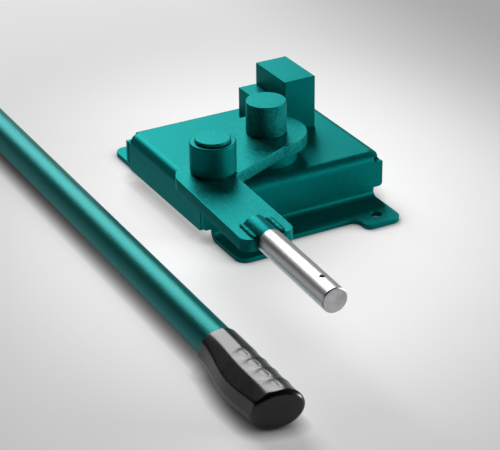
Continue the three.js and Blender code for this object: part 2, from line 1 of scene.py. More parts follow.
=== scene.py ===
"""Looks of a bench rebar bender. The folded base, the arm with its roller and stub, the mandrel, the blocks
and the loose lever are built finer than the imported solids, in the same places, and every piece gets its
finish here. Lengths are in millimetres from the middle of the base on the floor, unless a heading says
otherwise, and mount() turns them into metres."""

import contextlib
import math

import bmesh
import bpy
from mathutils import Matrix, Vector


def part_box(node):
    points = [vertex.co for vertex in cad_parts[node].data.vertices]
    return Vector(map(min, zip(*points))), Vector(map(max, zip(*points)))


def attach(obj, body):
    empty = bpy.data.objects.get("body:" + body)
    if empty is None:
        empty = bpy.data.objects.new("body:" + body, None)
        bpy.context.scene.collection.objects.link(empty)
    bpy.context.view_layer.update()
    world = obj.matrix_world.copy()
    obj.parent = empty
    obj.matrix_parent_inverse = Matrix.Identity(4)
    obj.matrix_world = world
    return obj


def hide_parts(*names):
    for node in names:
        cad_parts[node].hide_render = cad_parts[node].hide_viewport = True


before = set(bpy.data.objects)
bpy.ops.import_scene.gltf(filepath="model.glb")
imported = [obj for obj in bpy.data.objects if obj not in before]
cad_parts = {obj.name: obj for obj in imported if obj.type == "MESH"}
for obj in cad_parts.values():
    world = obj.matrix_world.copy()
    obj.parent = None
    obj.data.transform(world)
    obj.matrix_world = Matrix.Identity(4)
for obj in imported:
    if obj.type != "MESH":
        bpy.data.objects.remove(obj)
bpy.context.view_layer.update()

METRE = 1000
base_low, base_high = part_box("base_shell")
BASE_MIDDLE = Vector(((base_low.x + base_high.x) / 2, (base_low.y + base_high.y) / 2, base_low.z))

# Gap between parts that fit into each other, and how far a cutter passes what it cuts
CLEARANCE = 0.3
CUT = 1

# Base, one folded sheet
SHEET = 5
BASE_WIDTH = 200
BASE_DEPTH = 170
BASE_HEIGHT = 50
BEND_OUTER = 10
BEND_INNER = BEND_OUTER - SHEET
FOOT_HALF = 90
TAB_BOTTOM = 13
TAB_CORNER = 4
FLAP_BOTTOM = 10
FLAP_CORNER = 3
FLAP_GAP = 1.5
FLANGE_REACH = 35
FLANGE_LAP = 5
EAR_REACH = 55
EAR_WIDTH = 41
EAR_OUTER_RADIUS = 11
EAR_INNER_RADIUS = 7
EAR_ROOT_RADIUS = 8
EAR_HOLE = 11
EAR_HOLE_X = 70
EAR_HOLE_Y = 122
SHEET_EDGE = 0.7

# Pivot, mandrel and blocks
PIVOT = Vector((-5.5, -38, 0))
SHANK = 20
BOSS_DIAMETER = 60
BOSS_TOP = 64.5
BOSS_EDGE = 0.6
JOURNAL = 28
MANDREL_DIAMETER = 40
MANDREL_BOTTOM = 78.3
MANDREL_TOP = 110.7
MANDREL_TOP_EDGE = 1
MANDREL_BOTTOM_EDGE = 0.5
MANDREL_TIP = 22
MANDREL_TIP_CHAMFER = 2
NUT_WIDTH = 30
NUT_BOTTOM = 25
NUT_TOP = 41
NUT_FACE_SHARE = 0.95
NUT_CHAMFER = math.radians(30)
STOP_BOX = ((37.5, 1, 50), (72.5, 61, 105))
REST_BOX = ((17.2, 1, 50), (37.2, 61, 82))
BLOCK_EDGE = 0.8
BOLT = 10
BOLT_PASS = 11
BOLT_HOLE_TOP = 71
BOLT_PLACES = ((55, 14), (55, 48), (27.2, 14), (27.2, 48))
BOLT_HEAD_TOP = 43
BOLT_HEAD_WIDTH = 16
BOLT_HEAD_HEIGHT = 6.4
BOLT_TOP = 68

# Arm, in its own frame with the pivot at the origin
ARM_TURN = math.radians(-2)
ARM_BOTTOM = 66
ARM_THICKNESS = 12
ARM_WIDTH = 52
LOBE = 80
LEG_ANGLE = math.radians(27)
LEG_BACK = 17
HANDLE_X = -96
ARM_REACH = 196.5
ARM_ELBOW = 26
ARM_END_RADIUS = 10
ARM_CROOK = 3
ARM_EDGE = 0.6
BUSH_HOLE = 35.2
STUB = 24
STUB_LENGTH = 148.7
STUB_SEAT = 32
STUB_CHAMFER = 1
STUB_RIM = 0.3
STUB_HOLE = 5.5
STUB_HOLE_INSET = 23
STUB_HOLE_EDGE = 0.35
WELD_LENGTH = 29
WELD_OFFSET = 13.7

# Roller and its pin, with the arm's underside at height 0
ROLLER_REACH = 102
ROLLER_ANGLE = math.radians(214)
ROLLER_AT = Vector((ROLLER_REACH * math.cos(ROLLER_ANGLE), ROLLER_REACH * math.sin(ROLLER_ANGLE), 0))
ROLLER = 44
ROLLER_BORE = 25.6
ROLLER_BOTTOM = 13.6
ROLLER_TOP = 43.6
ROLLER_EDGE = 1.4
PIN = 20
PIN_HEAD = 34
PIN_HEAD_BOTTOM = 43.9
PIN_HEAD_TOP = 47.1
PIN_HEAD_EDGE = 0.9
PIN_HEAD_FOOT_EDGE = 0.4
PIN_TIP = -6.1
PIN_TIP_CHAMFER = 0.5
PIN_GROOVE_BOTTOM = -4.5
PIN_GROOVE_TOP = -2.3
PIN_GROOVE_DEPTH = 1.2

# Loose lever, in its own frame with the grip's end at the origin and the tube along Y
LEVER_AT = Vector((-191.8, -402, 0))
LEVER_TURN = math.radians(-0.61)
LEVER_OFF_FLOOR = 0.003
TUBE = 33.7
TUBE_WALL = 4
TUBE_START = 8.3
TUBE_LENGTH = 992
TUBE_EDGE = 0.9
GRIP_LENGTH = 112
GRIP_END_WALL = 8
GRIP_BORE = TUBE / 2 + CLEARANCE
GRIP_STATIONS = ((0, 23.15, 3.6), (49.28, 24.0, 4.8), (112, 20.3, 1.5))
GRIP_HALF_HEIGHT = 18.68
GRIP_PALM = math.radians(196)
GRIP_END_RADIUS = 6
GRIP_END_DOME = 0.2
GRIP_SLANT = 0.256
GRIP_SLANT_REACH = 40
GRIP_MOUTH_RADIUS = 0.9
GRIP_MOUTH_CHAMFER = 0.6
GRIP_MOUTH_WALL = 0.05
FINGERS = 4
FINGER_PITCH = 18
FINGER_FIRST = 14.1
FINGER_DEPTH = 0.7
FINGER_ANGLE = 20
FINGER_SPAN = 78
FINGER_FLATNESS = 2.6
FINGER_FADE = 1.2
TOP_ANGLE = math.radians(97)
TOP_DEPTH = 0.55
LOBE_ANGLE = math.radians(92)
LOBE_DEPTH = 1.1
SIDE_ANGLE = math.radians(162)
SIDE_DEPTH = 1.0
FACET_HALF = 62
FACET_DEPTH = 1.3
FACET_MIDDLE = 50
FACET_ANGLE = math.radians(126)
EDGE_BLEND = 0.5


# Outlines and solids
def rounded_outline(corners, steps=10):
    """Corners as (u, v, radius), joined by straight runs and arcs."""
    outline = []
    for i, (u, v, radius) in enumerate(corners):
        here = Vector((u, v))
        if radius == 0:
            outline.append(here)
            continue
        back = (Vector(corners[i - 1][:2]) - here).normalized()
        ahead = (Vector(corners[(i + 1) % len(corners)][:2]) - here).normalized()
        half = back.angle(ahead) / 2
        hub = here + (back + ahead).normalized() * (radius / math.sin(half))
        first = here + back * (radius / math.tan(half)) - hub
        last = here + ahead * (radius / math.tan(half)) - hub
        sweep = first.angle(last)
        for step in range(steps + 1):
            share = step / steps
            start = math.sin((1 - share) * sweep) / math.sin(sweep)
            end = math.sin(share * sweep) / math.sin(sweep)
            outline.append(hub + first * start + last * end)
    return outline


def circle(diameter, centre=(0, 0), steps=64):
    turns = [2 * math.pi * step / steps for step in range(steps)]
    return [Vector(centre) + Vector((math.cos(t), math.sin(t))) * diameter / 2 for t in turns]


def linked(name, data):
    """An object of its own in the scene."""
    made = bpy.data.objects.new(name, data)
    bpy.context.scene.collection.objects.link(made)
    return made


@contextlib.contextmanager
def reshaping(mesh):
    """The mesh as a bmesh, which is written back at the end."""
    shaped = bmesh.new()
    shaped.from_mesh(mesh)
    yield shaped
    shaped.to_mesh(mesh)
    shaped.free()


def smooth(mesh):
    mesh.polygons.foreach_set("use_smooth", [True] * len(mesh.polygons))


def solid(points, faces):
    """A closed mesh object whose faces point outwards."""
    mesh = bpy.data.meshes.new("work")
    mesh.from_pydata([tuple(p) for p in points], [], faces)
    with reshaping(mesh) as shaped:
        bmesh.ops.remove_doubles(shaped, verts=shaped.verts, dist=1e-5)
        bmesh.ops.recalc_face_normals(shaped, faces=shaped.faces)
    return linked("work", mesh)


def drawn_out(outline, low, high, axis="z"):
    """An outline drawn out along an axis. It is read as (y, z), (x, z) or (x, y)."""
    places = {
        "x": lambda u, v, level: (level, u, v),
        "y": lambda u, v, level: (u, level, v),
        "z": lambda u, v, level: (u, v, level),
    }
    count = len(outline)
    points = [places[axis](p[0], p[1], level) for level in (low, high) for p in outline]
    faces = [tuple(range(count)), tuple(range(2 * count - 1, count - 1, -1))]
    for i in range(count):
        after = (i + 1) % count
        faces.append((i, i + count, after + count, after))
    return solid(points, faces)


def turned(profile, steps=96, axis="z"):
    """A profile of (radius, height) turned about an axis. Its ends lie on the axis or meet each other."""
    points = []
    rings = []
    for radius, height in profile:
        if radius == 0:
            rings.append([len(points)] * steps)
            points.append((0, 0, height))
            continue
        rings.append(list(range(len(points), len(points) + steps)))
        for step in range(steps):
            turn = 2 * math.pi * step / steps
            points.append((radius * math.cos(turn), radius * math.sin(turn), height))
    faces = []
    for low, high in zip(rings, rings[1:]):
        for step in range(steps):
            after = (step + 1) % steps
            face = []
            for corner in (low[step], low[after], high[after], high[step]):
                if corner not in face:
                    face.append(corner)
            if len(face) > 2:
                faces.append(face)
    if axis == "y":
        points = [(x, z, -y) for x, y, z in points]
    return solid(points, faces)


def ring(inner, outer, low, high, edge, axis="z", steps=96):
    """A turned ring of which each edge is rounded."""
    corners = [(inner, low, edge), (outer, low, edge), (outer, high, edge), (inner, high, edge)]
    outline = rounded_outline(corners, 4)
    return turned(outline + outline[:1], steps, axis)


def freeze(piece):
    """Modifiers become the piece's own mesh."""
    scene_now = bpy.context.evaluated_depsgraph_get()
    mesh = bpy.data.meshes.new_from_object(piece.evaluated_get(scene_now), depsgraph=scene_now)
    piece.modifiers.clear()
    piece.data = mesh


def joined(whole, added=(), removed=()):
    """One closed solid: the first, with others added and others cut away."""
    for tool, action in [(t, "UNION") for t in added] + [(t, "DIFFERENCE") for t in removed]:
        step = whole.modifiers.new("join", "BOOLEAN")
        step.operation = action
        step.solver = "EXACT"
        step.object = tool
    freeze(whole)
    for tool in [*added, *removed]:
        bpy.data.objects.remove(tool)
    return whole


def soften(piece, edge, steps=3, sharpest=30):
    """Small rounding on every edge that is sharper than a bend's own facets."""
    with reshaping(piece.data) as shaped:
        bmesh.ops.remove_doubles(shaped, verts=shaped.verts, dist=1e-3)
        flat = math.radians(0.5)
        bmesh.ops.dissolve_limit(shaped, angle_limit=flat, verts=shaped.verts, edges=shaped.edges)
    rounding = piece.modifiers.new("edge", "BEVEL")
    rounding.width = edge
    rounding.segments = steps
    rounding.limit_method = "ANGLE"
    rounding.angle_limit = math.radians(sharpest)
    rounding.use_clamp_overlap = True
    rounding.face_strength_mode = "FSTR_ALL"
    smooth(piece.data)
    even = piece.modifiers.new("even", "WEIGHTED_NORMAL")
    even.use_face_influence = True
    even.weight = 100
    freeze(piece)
    piece["softened"] = True
    return piece


def place_in_metres(place):
    """A place in millimetres around the base's middle, as one in the frame's metres."""
    return Matrix.Translation(BASE_MIDDLE) @ Matrix.Scale(1 / METRE, 4) @ place


def mount(piece, name, body, finishes, nodes, place=Matrix.Identity(4)):
    """Names the piece, puts its place into its mesh and hands it to its body."""
    if "softened" not in piece:
        smooth(piece.data)
        piece.data.set_sharp_from_angle(angle=math.radians(50))
        even = piece.modifiers.new("even", "WEIGHTED_NORMAL")
        even.keep_sharp = True
        freeze(piece)
    piece.name = name
    piece.data.name = name
    piece.data.transform(place_in_metres(place))
    piece.data.materials.clear()
    for finish in finishes:
        piece.data.materials.append(finish)
    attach(piece, body)
    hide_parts(*nodes)
    return piece


# Nodes
def feed(made, values):
    """Plain values, or the sockets that give them, go into a node's inputs."""
    for label, value in dict(values).items():
        if isinstance(value, bpy.types.NodeSocket):
            made.id_data.links.new(value, made.inputs[label])
        else:
            made.inputs[label].default_value = value


def node(tree, kind, values=(), **settings):
    made = tree.nodes.new(kind)
    for label, value in settings.items():
        setattr(made, label, value)
    feed(made, values)
    return made


def maths(tree, operation, *values):
    """The result of a Math node on numbers or sockets."""
    return node(tree, "ShaderNodeMath", enumerate(values), operation=operation).outputs[0]


def add_numbers(tree, sizes):
    """Named number inputs with their usual values."""
    for label, value in sizes.items():
        socket = tree.interface.new_socket(label, in_out="INPUT", socket_type="NodeSocketFloat")
        socket.default_value = value


# Finishes
def new_group(name, sizes, results):
    """An empty shader group: a place and named numbers go in, and masks or values come out."""
    group = bpy.data.node_groups.new(name, "ShaderNodeTree")
    group.interface.new_socket("Place", in_out="INPUT", socket_type="NodeSocketVector")
    add_numbers(group, sizes)
    for label in results:
        group.interface.new_socket(label, in_out="OUTPUT", socket_type="NodeSocketFloat")
    return group


def grain_group():
    """Fine grain of a coat or a moulded skin, with a slow change of tone. Sizes are in millimetres."""
    sizes = {"Grain Size": 1.0, "Patch Size": 40.0, "Patch Share": 0.5}
    group = new_group("grain", sizes, ("Tone", "Height"))
    start = node(group, "NodeGroupInput").outputs
    noises = []
    for label, detail, roughness in (("Grain Size", 3.0, 0.6), ("Patch Size", 4.0, 0.55)):
        noise = node(group, "ShaderNodeTexNoise", {
            "Vector": start["Place"], "Scale": maths(group, "DIVIDE", METRE, start[label]),
            "Detail": detail, "Roughness": roughness,
        })
        noises.append(noise.outputs["Fac"])
    fine, patch = noises
    both = node(group, "ShaderNodeMix", data_type="FLOAT")
    feed(both, {"Factor": start["Patch Share"], "A": fine, "B": patch})
    node(group, "NodeGroupOutput", {"Tone": both.outputs["Result"], "Height": fine})
    return group


def streak_group():
    """Fine lines that a tool or a draw bench leaves along a piece's own Y. Sizes are in millimetres."""
    group = new_group("streaks", {"Turn": 0.0, "Line Width": 0.5, "Line Length": 60.0}, ("Lines",))
    start = node(group, "NodeGroupInput").outputs
    turn = node(group, "ShaderNodeVectorRotate", rotation_type="Z_AXIS")
    feed(turn, {"Vector": start["Place"], "Angle": start["Turn"]})
    across = maths(group, "DIVIDE", METRE, start["Line Width"])
    along = maths(group, "DIVIDE", METRE, start["Line Length"])
    scale = node(group, "ShaderNodeCombineXYZ", {"X": across, "Y": along, "Z": across})
    stretched = node(group, "ShaderNodeVectorMath", {0: turn.outputs["Vector"], 1: scale.outputs["Vector"]},
                     operation="MULTIPLY")
    lines = node(group, "ShaderNodeTexNoise", {
        "Vector": stretched.outputs["Vector"], "Scale": 1.0, "Detail": 4.0, "Roughness": 0.65,
    })
    node(group, "NodeGroupOutput", {"Lines": lines.outputs["Fac"]})
    return group


GRAIN = grain_group()
STREAKS = streak_group()


def new_material(name, plain):
    """A material, its node tree and its shader, with that shader's plain values."""
    finish = bpy.data.materials.new(name)
    finish.use_nodes = True
    shader = finish.node_tree.nodes["Principled BSDF"]
    feed(shader, plain)
    return finish, finish.node_tree, shader


def own_place(tree):
    return node(tree, "ShaderNodeTexCoord").outputs["Object"]


def dress(shader, tone, height, span, shades, roughness, depth):
    """Colour, gloss and relief of a shader, all from one noise. The shades are spread over its span."""
    tree = shader.id_data
    tones = node(tree, "ShaderNodeValToRGB", {"Fac": tone})
    stops = tones.color_ramp.elements
    stops[0].position = span[0]
    stops[1].position = span[1]
    if len(shades) > 2:
        stops.new(sum(span) / 2)
    for stop, shade in zip(stops, shades):
        stop.color = (*shade, 1)
    gloss = node(tree, "ShaderNodeMapRange", {
        "Value": tone, "From Min": 0.3, "From Max": 0.7, "To Min": roughness[0], "To Max": roughness[1],
    })
    relief = node(tree, "ShaderNodeBump", {"Height": height, "Strength": 1.0, "Distance": depth / METRE})
    feed(shader, {
        "Base Color": tones.outputs["Color"], "Roughness": gloss.outputs["Result"],
        "Normal": relief.outputs["Normal"],
    })


def coat(name, shades, grain, patch, share, roughness, depth, plain):
    """A finish of three shades with grain and slow patches. plain holds the shader's own values."""
    finish, tree, shader = new_material(name, plain)
    skin = node(tree, "ShaderNodeGroup", node_tree=GRAIN)
    feed(skin, {"Place": own_place(tree), "Grain Size": grain, "Patch Size": patch, "Patch Share": share})
    dress(shader, skin.outputs["Tone"], skin.outputs["Height"], (0.36, 0.64), shades, roughness, depth)
    return finish


def drawn_metal(name, shades, turn, width, length, roughness, depth, plain):
    """Bare metal of two shades with drawn lines of that width and length."""
    finish, tree, shader = new_material(name, plain)
    lines = node(tree, "ShaderNodeGroup", node_tree=STREAKS)
    feed(lines, {"Place": own_place(tree), "Turn": turn, "Line Width": width, "Line Length": length})
    dress(shader, lines.outputs["Lines"], lines.outputs["Lines"], (0.3, 0.7), shades, roughness, depth)
    return finish


TEAL_SHADES = ((0.0005, 0.128, 0.122), (0.0006, 0.147, 0.140), (0.0007, 0.170, 0.162))
TUBE_SHADES = ((0.0005, 0.108, 0.103), (0.0006, 0.122, 0.116), (0.0007, 0.142, 0.135))
CAST_SHADES = ((0.0035, 0.112, 0.107), (0.0050, 0.156, 0.150), (0.0080, 0.210, 0.203))
DRAWN_SHADES = ((0.50, 0.50, 0.51), (0.64, 0.64, 0.65))
FACE_SHADES = ((0.40, 0.40, 0.41), (0.50, 0.50, 0.51), (0.60, 0.60, 0.61))
ZINC_SHADES = ((0.42, 0.43, 0.44), (0.52, 0.53, 0.54), (0.62, 0.63, 0.63))
BRONZE_SHADES = ((0.30, 0.17, 0.06), (0.40, 0.24, 0.09), (0.50, 0.31, 0.13))
GRIP_SHADES = ((0.003, 0.0033, 0.004), (0.0045, 0.005, 0.006), (0.0065, 0.007, 0.0085))
TEAL_SHEEN = (0.02, 0.90, 0.88, 1)
PALE_SHEEN = (0.6, 0.95, 0.94, 1)
TEAL_PLAIN = {"Metallic": 0.64, "Specular IOR Level": 0.06, "Specular Tint": TEAL_SHEEN}
TUBE_PLAIN = {"Metallic": 0.6, "Specular IOR Level": 0.2, "Specular Tint": PALE_SHEEN}
GRIP_PLAIN = {"Metallic": 0.0, "Specular IOR Level": 0.47}
METAL_PLAIN = {"Metallic": 1.0}
teal = coat("teal_powder_coat", TEAL_SHADES, grain=2.0, patch=45, share=0.35, roughness=(0.38, 0.5),
            depth=0.07, plain=TEAL_PLAIN)
teal_cast = coat("teal_rough_coat", CAST_SHADES, grain=2.4, patch=30, share=0.1, roughness=(0.36, 0.52),
                 depth=0.22, plain=TEAL_PLAIN)
teal_tube = coat("teal_tube_coat", TUBE_SHADES, grain=2.2, patch=60, share=0.15, roughness=(0.35, 0.45),
                 depth=0.15, plain=TUBE_PLAIN)
steel = drawn_metal("bright_drawn_steel", DRAWN_SHADES, turn=-ARM_TURN, width=0.3, length=45,
                    roughness=(0.36, 0.46), depth=0.004, plain=METAL_PLAIN)
steel_face = coat("turned_steel_face", FACE_SHADES, grain=0.7, patch=7, share=0.6, roughness=(0.34, 0.5),
                  depth=0.012, plain=METAL_PLAIN)
zinc = coat("zinc_plate", ZINC_SHADES, grain=0.6, patch=9, share=0.6, roughness=(0.28, 0.42),
            depth=0.01, plain=METAL_PLAIN)
bronze = coat("bearing_bronze", BRONZE_SHADES, grain=0.5, patch=6, share=0.5, roughness=(0.3, 0.45),
              depth=0.012, plain=METAL_PLAIN)
rubber = coat("black_moulded_grip", GRIP_SHADES, grain=1.1, patch=25, share=0.4, roughness=(0.24, 0.34),
              depth=0.01, plain=GRIP_PLAIN)


# Base
def folded_base():
    side = BASE_DEPTH / 2
    end = BASE_WIDTH / 2
    under = BASE_HEIGHT - SHEET
    lap = side + BEND_INNER + FLANGE_LAP
    walls = rounded_outline([
        (-lap, 0, 0), (-side + SHEET, 0, BEND_OUTER), (-side + SHEET, under, BEND_INNER),
        (side - SHEET, under, BEND_INNER), (side - SHEET, 0, BEND_OUTER), (lap, 0, 0),
        (lap, SHEET, 0), (side, SHEET, BEND_INNER), (side, BASE_HEIGHT, BEND_OUTER),
        (-side, BASE_HEIGHT, BEND_OUTER), (-side, SHEET, BEND_INNER), (-lap, SHEET, 0),
    ])
    bend_start = BASE_HEIGHT - BEND_OUTER
    ends = rounded_outline([
        (-end + SHEET, bend_start, 0), (-end + SHEET, under, BEND_INNER), (end - SHEET, under, BEND_INNER),
        (end - SHEET, bend_start, 0), (end, bend_start, 0), (end, BASE_HEIGHT, BEND_OUTER),
        (-end, BASE_HEIGHT, BEND_OUTER), (-end, bend_start, 0),
    ])
    tab = rounded_outline([
        (-end, TAB_BOTTOM, TAB_CORNER), (end, TAB_BOTTOM, TAB_CORNER),
        (end, bend_start, 0), (-end, bend_start, 0),
    ])
    flap_half = side - SHEET - FLAP_GAP
    flap = rounded_outline([
        (-flap_half, FLAP_BOTTOM, FLAP_CORNER), (flap_half, FLAP_BOTTOM, FLAP_CORNER),
        (flap_half, bend_start, 0), (-flap_half, bend_start, 0),
    ])
    ear_in = FOOT_HALF - EAR_WIDTH
    added = [
        drawn_out(ends, -side + BEND_OUTER, side - BEND_OUTER, "y"),
        drawn_out(tab, side - SHEET, side, "y"),
        drawn_out(tab, -side, -side + SHEET, "y"),
        drawn_out(flap, end - SHEET, end, "x"),
        drawn_out(flap, -end, -end + SHEET, "x"),
    ]
    for way in (-1, 1):
        tip = way * (side + EAR_REACH)
        edge = way * (side + FLANGE_REACH)
        start = way * (side + BEND_INNER)
        added.append(drawn_out(rounded_outline([
            (-FOOT_HALF, start, 0), (-FOOT_HALF, tip, EAR_OUTER_RADIUS), (-ear_in, tip, EAR_INNER_RADIUS),
            (-ear_in, edge, EAR_ROOT_RADIUS), (ear_in, edge, EAR_ROOT_RADIUS),
            (ear_in, tip, EAR_INNER_RADIUS), (FOOT_HALF, tip, EAR_OUTER_RADIUS), (FOOT_HALF, start, 0),
        ]), 0, SHEET))
    holes = [drawn_out(circle(SHANK + 2 * CLEARANCE, PIVOT.xy), under - CUT, BASE_HEIGHT + CUT)]
    for place in BOLT_PLACES:
        holes.append(drawn_out(circle(BOLT_PASS, place, 32), under - CUT, BASE_HEIGHT + CUT))
    for x in (-EAR_HOLE_X, EAR_HOLE_X):
        for y in (-EAR_HOLE_Y, EAR_HOLE_Y):
            holes.append(drawn_out(circle(EAR_HOLE, (x, y), 48), -CUT, SHEET + CUT))
    whole = joined(drawn_out(walls, -FOOT_HALF, FOOT_HALF, "x"), added, holes)
    return soften(whole, SHEET_EDGE)


def mandrel_post():
    head = MANDREL_DIAMETER / 2
    shank = SHANK / 2
    top_edge = rounded_outline([
        (0, MANDREL_BOTTOM, 0), (head, MANDREL_BOTTOM, MANDREL_BOTTOM_EDGE),
        (head, MANDREL_TOP, MANDREL_TOP_EDGE), (0, MANDREL_TOP, 0),
    ], 5)[1:]
    profile = [
        (0, MANDREL_TIP), (shank - MANDREL_TIP_CHAMFER, MANDREL_TIP),
        (shank, MANDREL_TIP + MANDREL_TIP_CHAMFER), (shank, BOSS_TOP),
        (JOURNAL / 2, BOSS_TOP), (JOURNAL / 2, MANDREL_BOTTOM),
    ]
    return turned(profile + [tuple(p) for p in top_edge])


def bar_block(corners):
    (x0, y0, z0), (x1, y1, z1) = corners
    body = drawn_out([(x0, y0), (x1, y0), (x1, y1), (x0, y1)], z0, z1)
    holes = [
        drawn_out(circle(BOLT + 2 * CLEARANCE, place, 32), z0 - CUT, BOLT_HOLE_TOP)
        for place in BOLT_PLACES if x0 < place[0] < x1
    ]
    return soften(joined(body, (), holes), BLOCK_EDGE)


def corner_radius(width):
    """A hexagon's middle to its corners, from its width over the flats."""
    return width / 2 / math.cos(math.pi / 6)


def hexagon_nut():
    """A hexagon whose corners are turned off at both ends, with its bore."""
    corner = corner_radius(NUT_WIDTH)
    body = drawn_out(circle(2 * corner, steps=6), NUT_BOTTOM, NUT_TOP)
    reach = corner + CUT
    flat = NUT_WIDTH / 2 * NUT_FACE_SHARE
    slope = math.tan(NUT_CHAMFER) * (reach - flat)
    cutter = reach + 5
    cutter_foot = NUT_TOP - slope - 3
    collar = [(0, NUT_TOP + CUT), (cutter, NUT_TOP + CUT), (cutter, cutter_foot), (reach, NUT_TOP - slope),
              (flat, NUT_TOP), (0, NUT_TOP)]
    mirrored = [(radius, NUT_BOTTOM + NUT_TOP - height) for radius, height in collar]
    tools = [turned(line + line[:1], 48) for line in (collar, mirrored)]
    tools.append(drawn_out(circle(SHANK + 2 * CLEARANCE), NUT_BOTTOM - CUT, NUT_TOP + CUT))
    return joined(body, (), tools)


PIVOT_FRAME = Matrix.Translation(PIVOT)
mount(folded_base(), "folded_base", "base", [teal], ["base_shell"])
boss = ring(SHANK / 2 + CLEARANCE, BOSS_DIAMETER / 2, BASE_HEIGHT, BOSS_TOP, BOSS_EDGE)
mount(boss, "boss_ring", "base", [teal], ["pivot_boss"], PIVOT_FRAME)
mount(mandrel_post(), "mandrel_post", "base", [teal_cast], ["mandrel"], PIVOT_FRAME)
mount(bar_block(STOP_BOX), "stop_block", "base", [teal], ["bar_stop"])
mount(bar_block(REST_BOX), "rest_block", "base", [teal], ["bar_rest"])
mount(hexagon_nut(), "mandrel_nut", "base", [zinc], ["pivot_nut"], PIVOT_FRAME)


# Arm
ARM_FRAME = Matrix.Translation(PIVOT + Vector((0, 0, ARM_BOTTOM))) @ Matrix.Rotation(ARM_TURN, 4, "Z")


def arm_outline():
    """The lobe's arc, the two legs and the stub's slot, as one outline."""
    along = Vector((-math.cos(LEG_ANGLE), -math.sin(LEG_ANGLE)))
    across = Vector((-math.sin(LEG_ANGLE), math.cos(LEG_ANGLE)))

    def on_edge(offset, x):
        start = across * offset
        return start + along * ((x - start.x) / along.x)

    left = HANDLE_X - ARM_WIDTH / 2
    right = HANDLE_X + ARM_WIDTH / 2
    front = LEG_BACK - ARM_WIDTH
    slot = STUB / 2 + CLEARANCE
    slot_end = -ARM_REACH + STUB_SEAT
    back_turn = LEG_ANGLE + math.pi - math.asin(LEG_BACK / (LOBE / 2))
    front_turn = LEG_ANGLE + math.pi - math.asin(front / (LOBE / 2)) - 2 * math.pi
    steps = 110
    corners = []
    for step in range(steps + 1):
        turn = front_turn + (back_turn - front_turn) * step / steps
        corners.append((LOBE / 2 * math.cos(turn), LOBE / 2 * math.sin(turn), 0))
    corners += [
        (*on_edge(LEG_BACK, left), ARM_ELBOW), (left, -ARM_REACH, ARM_END_RADIUS),
        (HANDLE_X - slot, -ARM_REACH, 0), (HANDLE_X - slot, slot_end, 0),
        (HANDLE_X + slot, slot_end, 0), (HANDLE_X + slot, -ARM_REACH, 0),
        (right, -ARM_REACH, ARM_END_RADIUS), (*on_edge(front, right), ARM_CROOK),
    ]
    return rounded_outline(corners)


def edged_plate(outline, holes, low, high, edge, steps=4):
    """A flat plate whose rims are rounded, from an outline and the circles of its holes."""
    shaped = bmesh.new()
    levels = []
    for step in range(steps + 1):
        turn = math.pi / 2 * step / steps
        levels.append((edge * (1 - math.sin(turn)), low + edge * (1 - math.cos(turn))))
    levels += [(inset, low + high - height) for inset, height in reversed(levels)]
    longest_mitre = 0.4
    caps = [[], []]
    for number, line in enumerate([outline, *holes]):
        count = len(line)
        area = sum(a.cross(b) for a, b in zip(line, line[1:] + line[:1]))
        way = math.copysign(1, area) * (1 if number == 0 else -1)
        outward = []
        for i, here in enumerate(line):
            back = (here - line[i - 1]).normalized()
            ahead = (line[(i + 1) % count] - here).normalized()
            mean = (back + ahead).normalized()
            normal = Vector((mean.y, -mean.x)) * way
            outward.append(normal / max(longest_mitre, mean.dot(ahead)))
        loops = [
            [shaped.verts.new((*(here - out * inset), height)) for here, out in zip(line, outward)]
            for inset, height in levels
        ]
        for lower, upper in zip(loops, loops[1:]):
            for i in range(count):
                after = (i + 1) % count
                shaped.faces.new((lower[i], lower[after], upper[after], upper[i]))
        for cap, loop in zip(caps, (loops[0], loops[-1])):
            for i in range(count):
                cap.append(shaped.edges.get((loop[i], loop[(i + 1) % count])))
    for cap in caps:
        for rim in cap:
            rim.smooth = False
        bmesh.ops.triangle_fill(shaped, use_beauty=True, edges=cap)
    bmesh.ops.recalc_face_normals(shaped, faces=shaped.faces)
    mesh = bpy.data.meshes.new("work")
    shaped.to_mesh(mesh)
    shaped.free()
    smooth(mesh)
    made = linked("work", mesh)
    made["softened"] = True
    return made


def stub_bar():
    """The round bar with its chamfers and cross hole, and a loop of edges where its paint ends."""
    radius = STUB / 2
    edge = rounded_outline([
        (0, 0, 0), (radius - STUB_CHAMFER, 0, STUB_RIM), (radius, STUB_CHAMFER, STUB_RIM),
        (radius, STUB_LENGTH, STUB_RIM), (0, STUB_LENGTH, 0),
    ], 3)
    bar = turned([tuple(p) for p in edge], 96, "y")
    hole = drawn_out(circle(STUB_HOLE, (0, STUB_HOLE_INSET), 40), -radius - CUT, radius + CUT)
    bar = soften(joined(bar, (), [hole]), STUB_HOLE_EDGE, 2, 55)
    with reshaping(bar.data) as seat:
        bmesh.ops.bisect_plane(seat, geom=[*seat.verts, *seat.edges, *seat.faces], plane_no=(0, 1, 0),
                               plane_co=(0, STUB_LENGTH - STUB_SEAT + CLEARANCE, 0))
    return bar


def paint_seat(bar, place):
    """The stub carries the arm's paint where it lies in the slot, and its bare end is turned."""
    to_bar = place_in_metres(place).inverted()
    for face in bar.data.polygons:
        middle = (to_bar @ face.center).y
        if middle > STUB_LENGTH - STUB_SEAT + CLEARANCE:
            face.material_index = 1
        if middle < 2 * CLEARANCE:
            face.material_index = 2


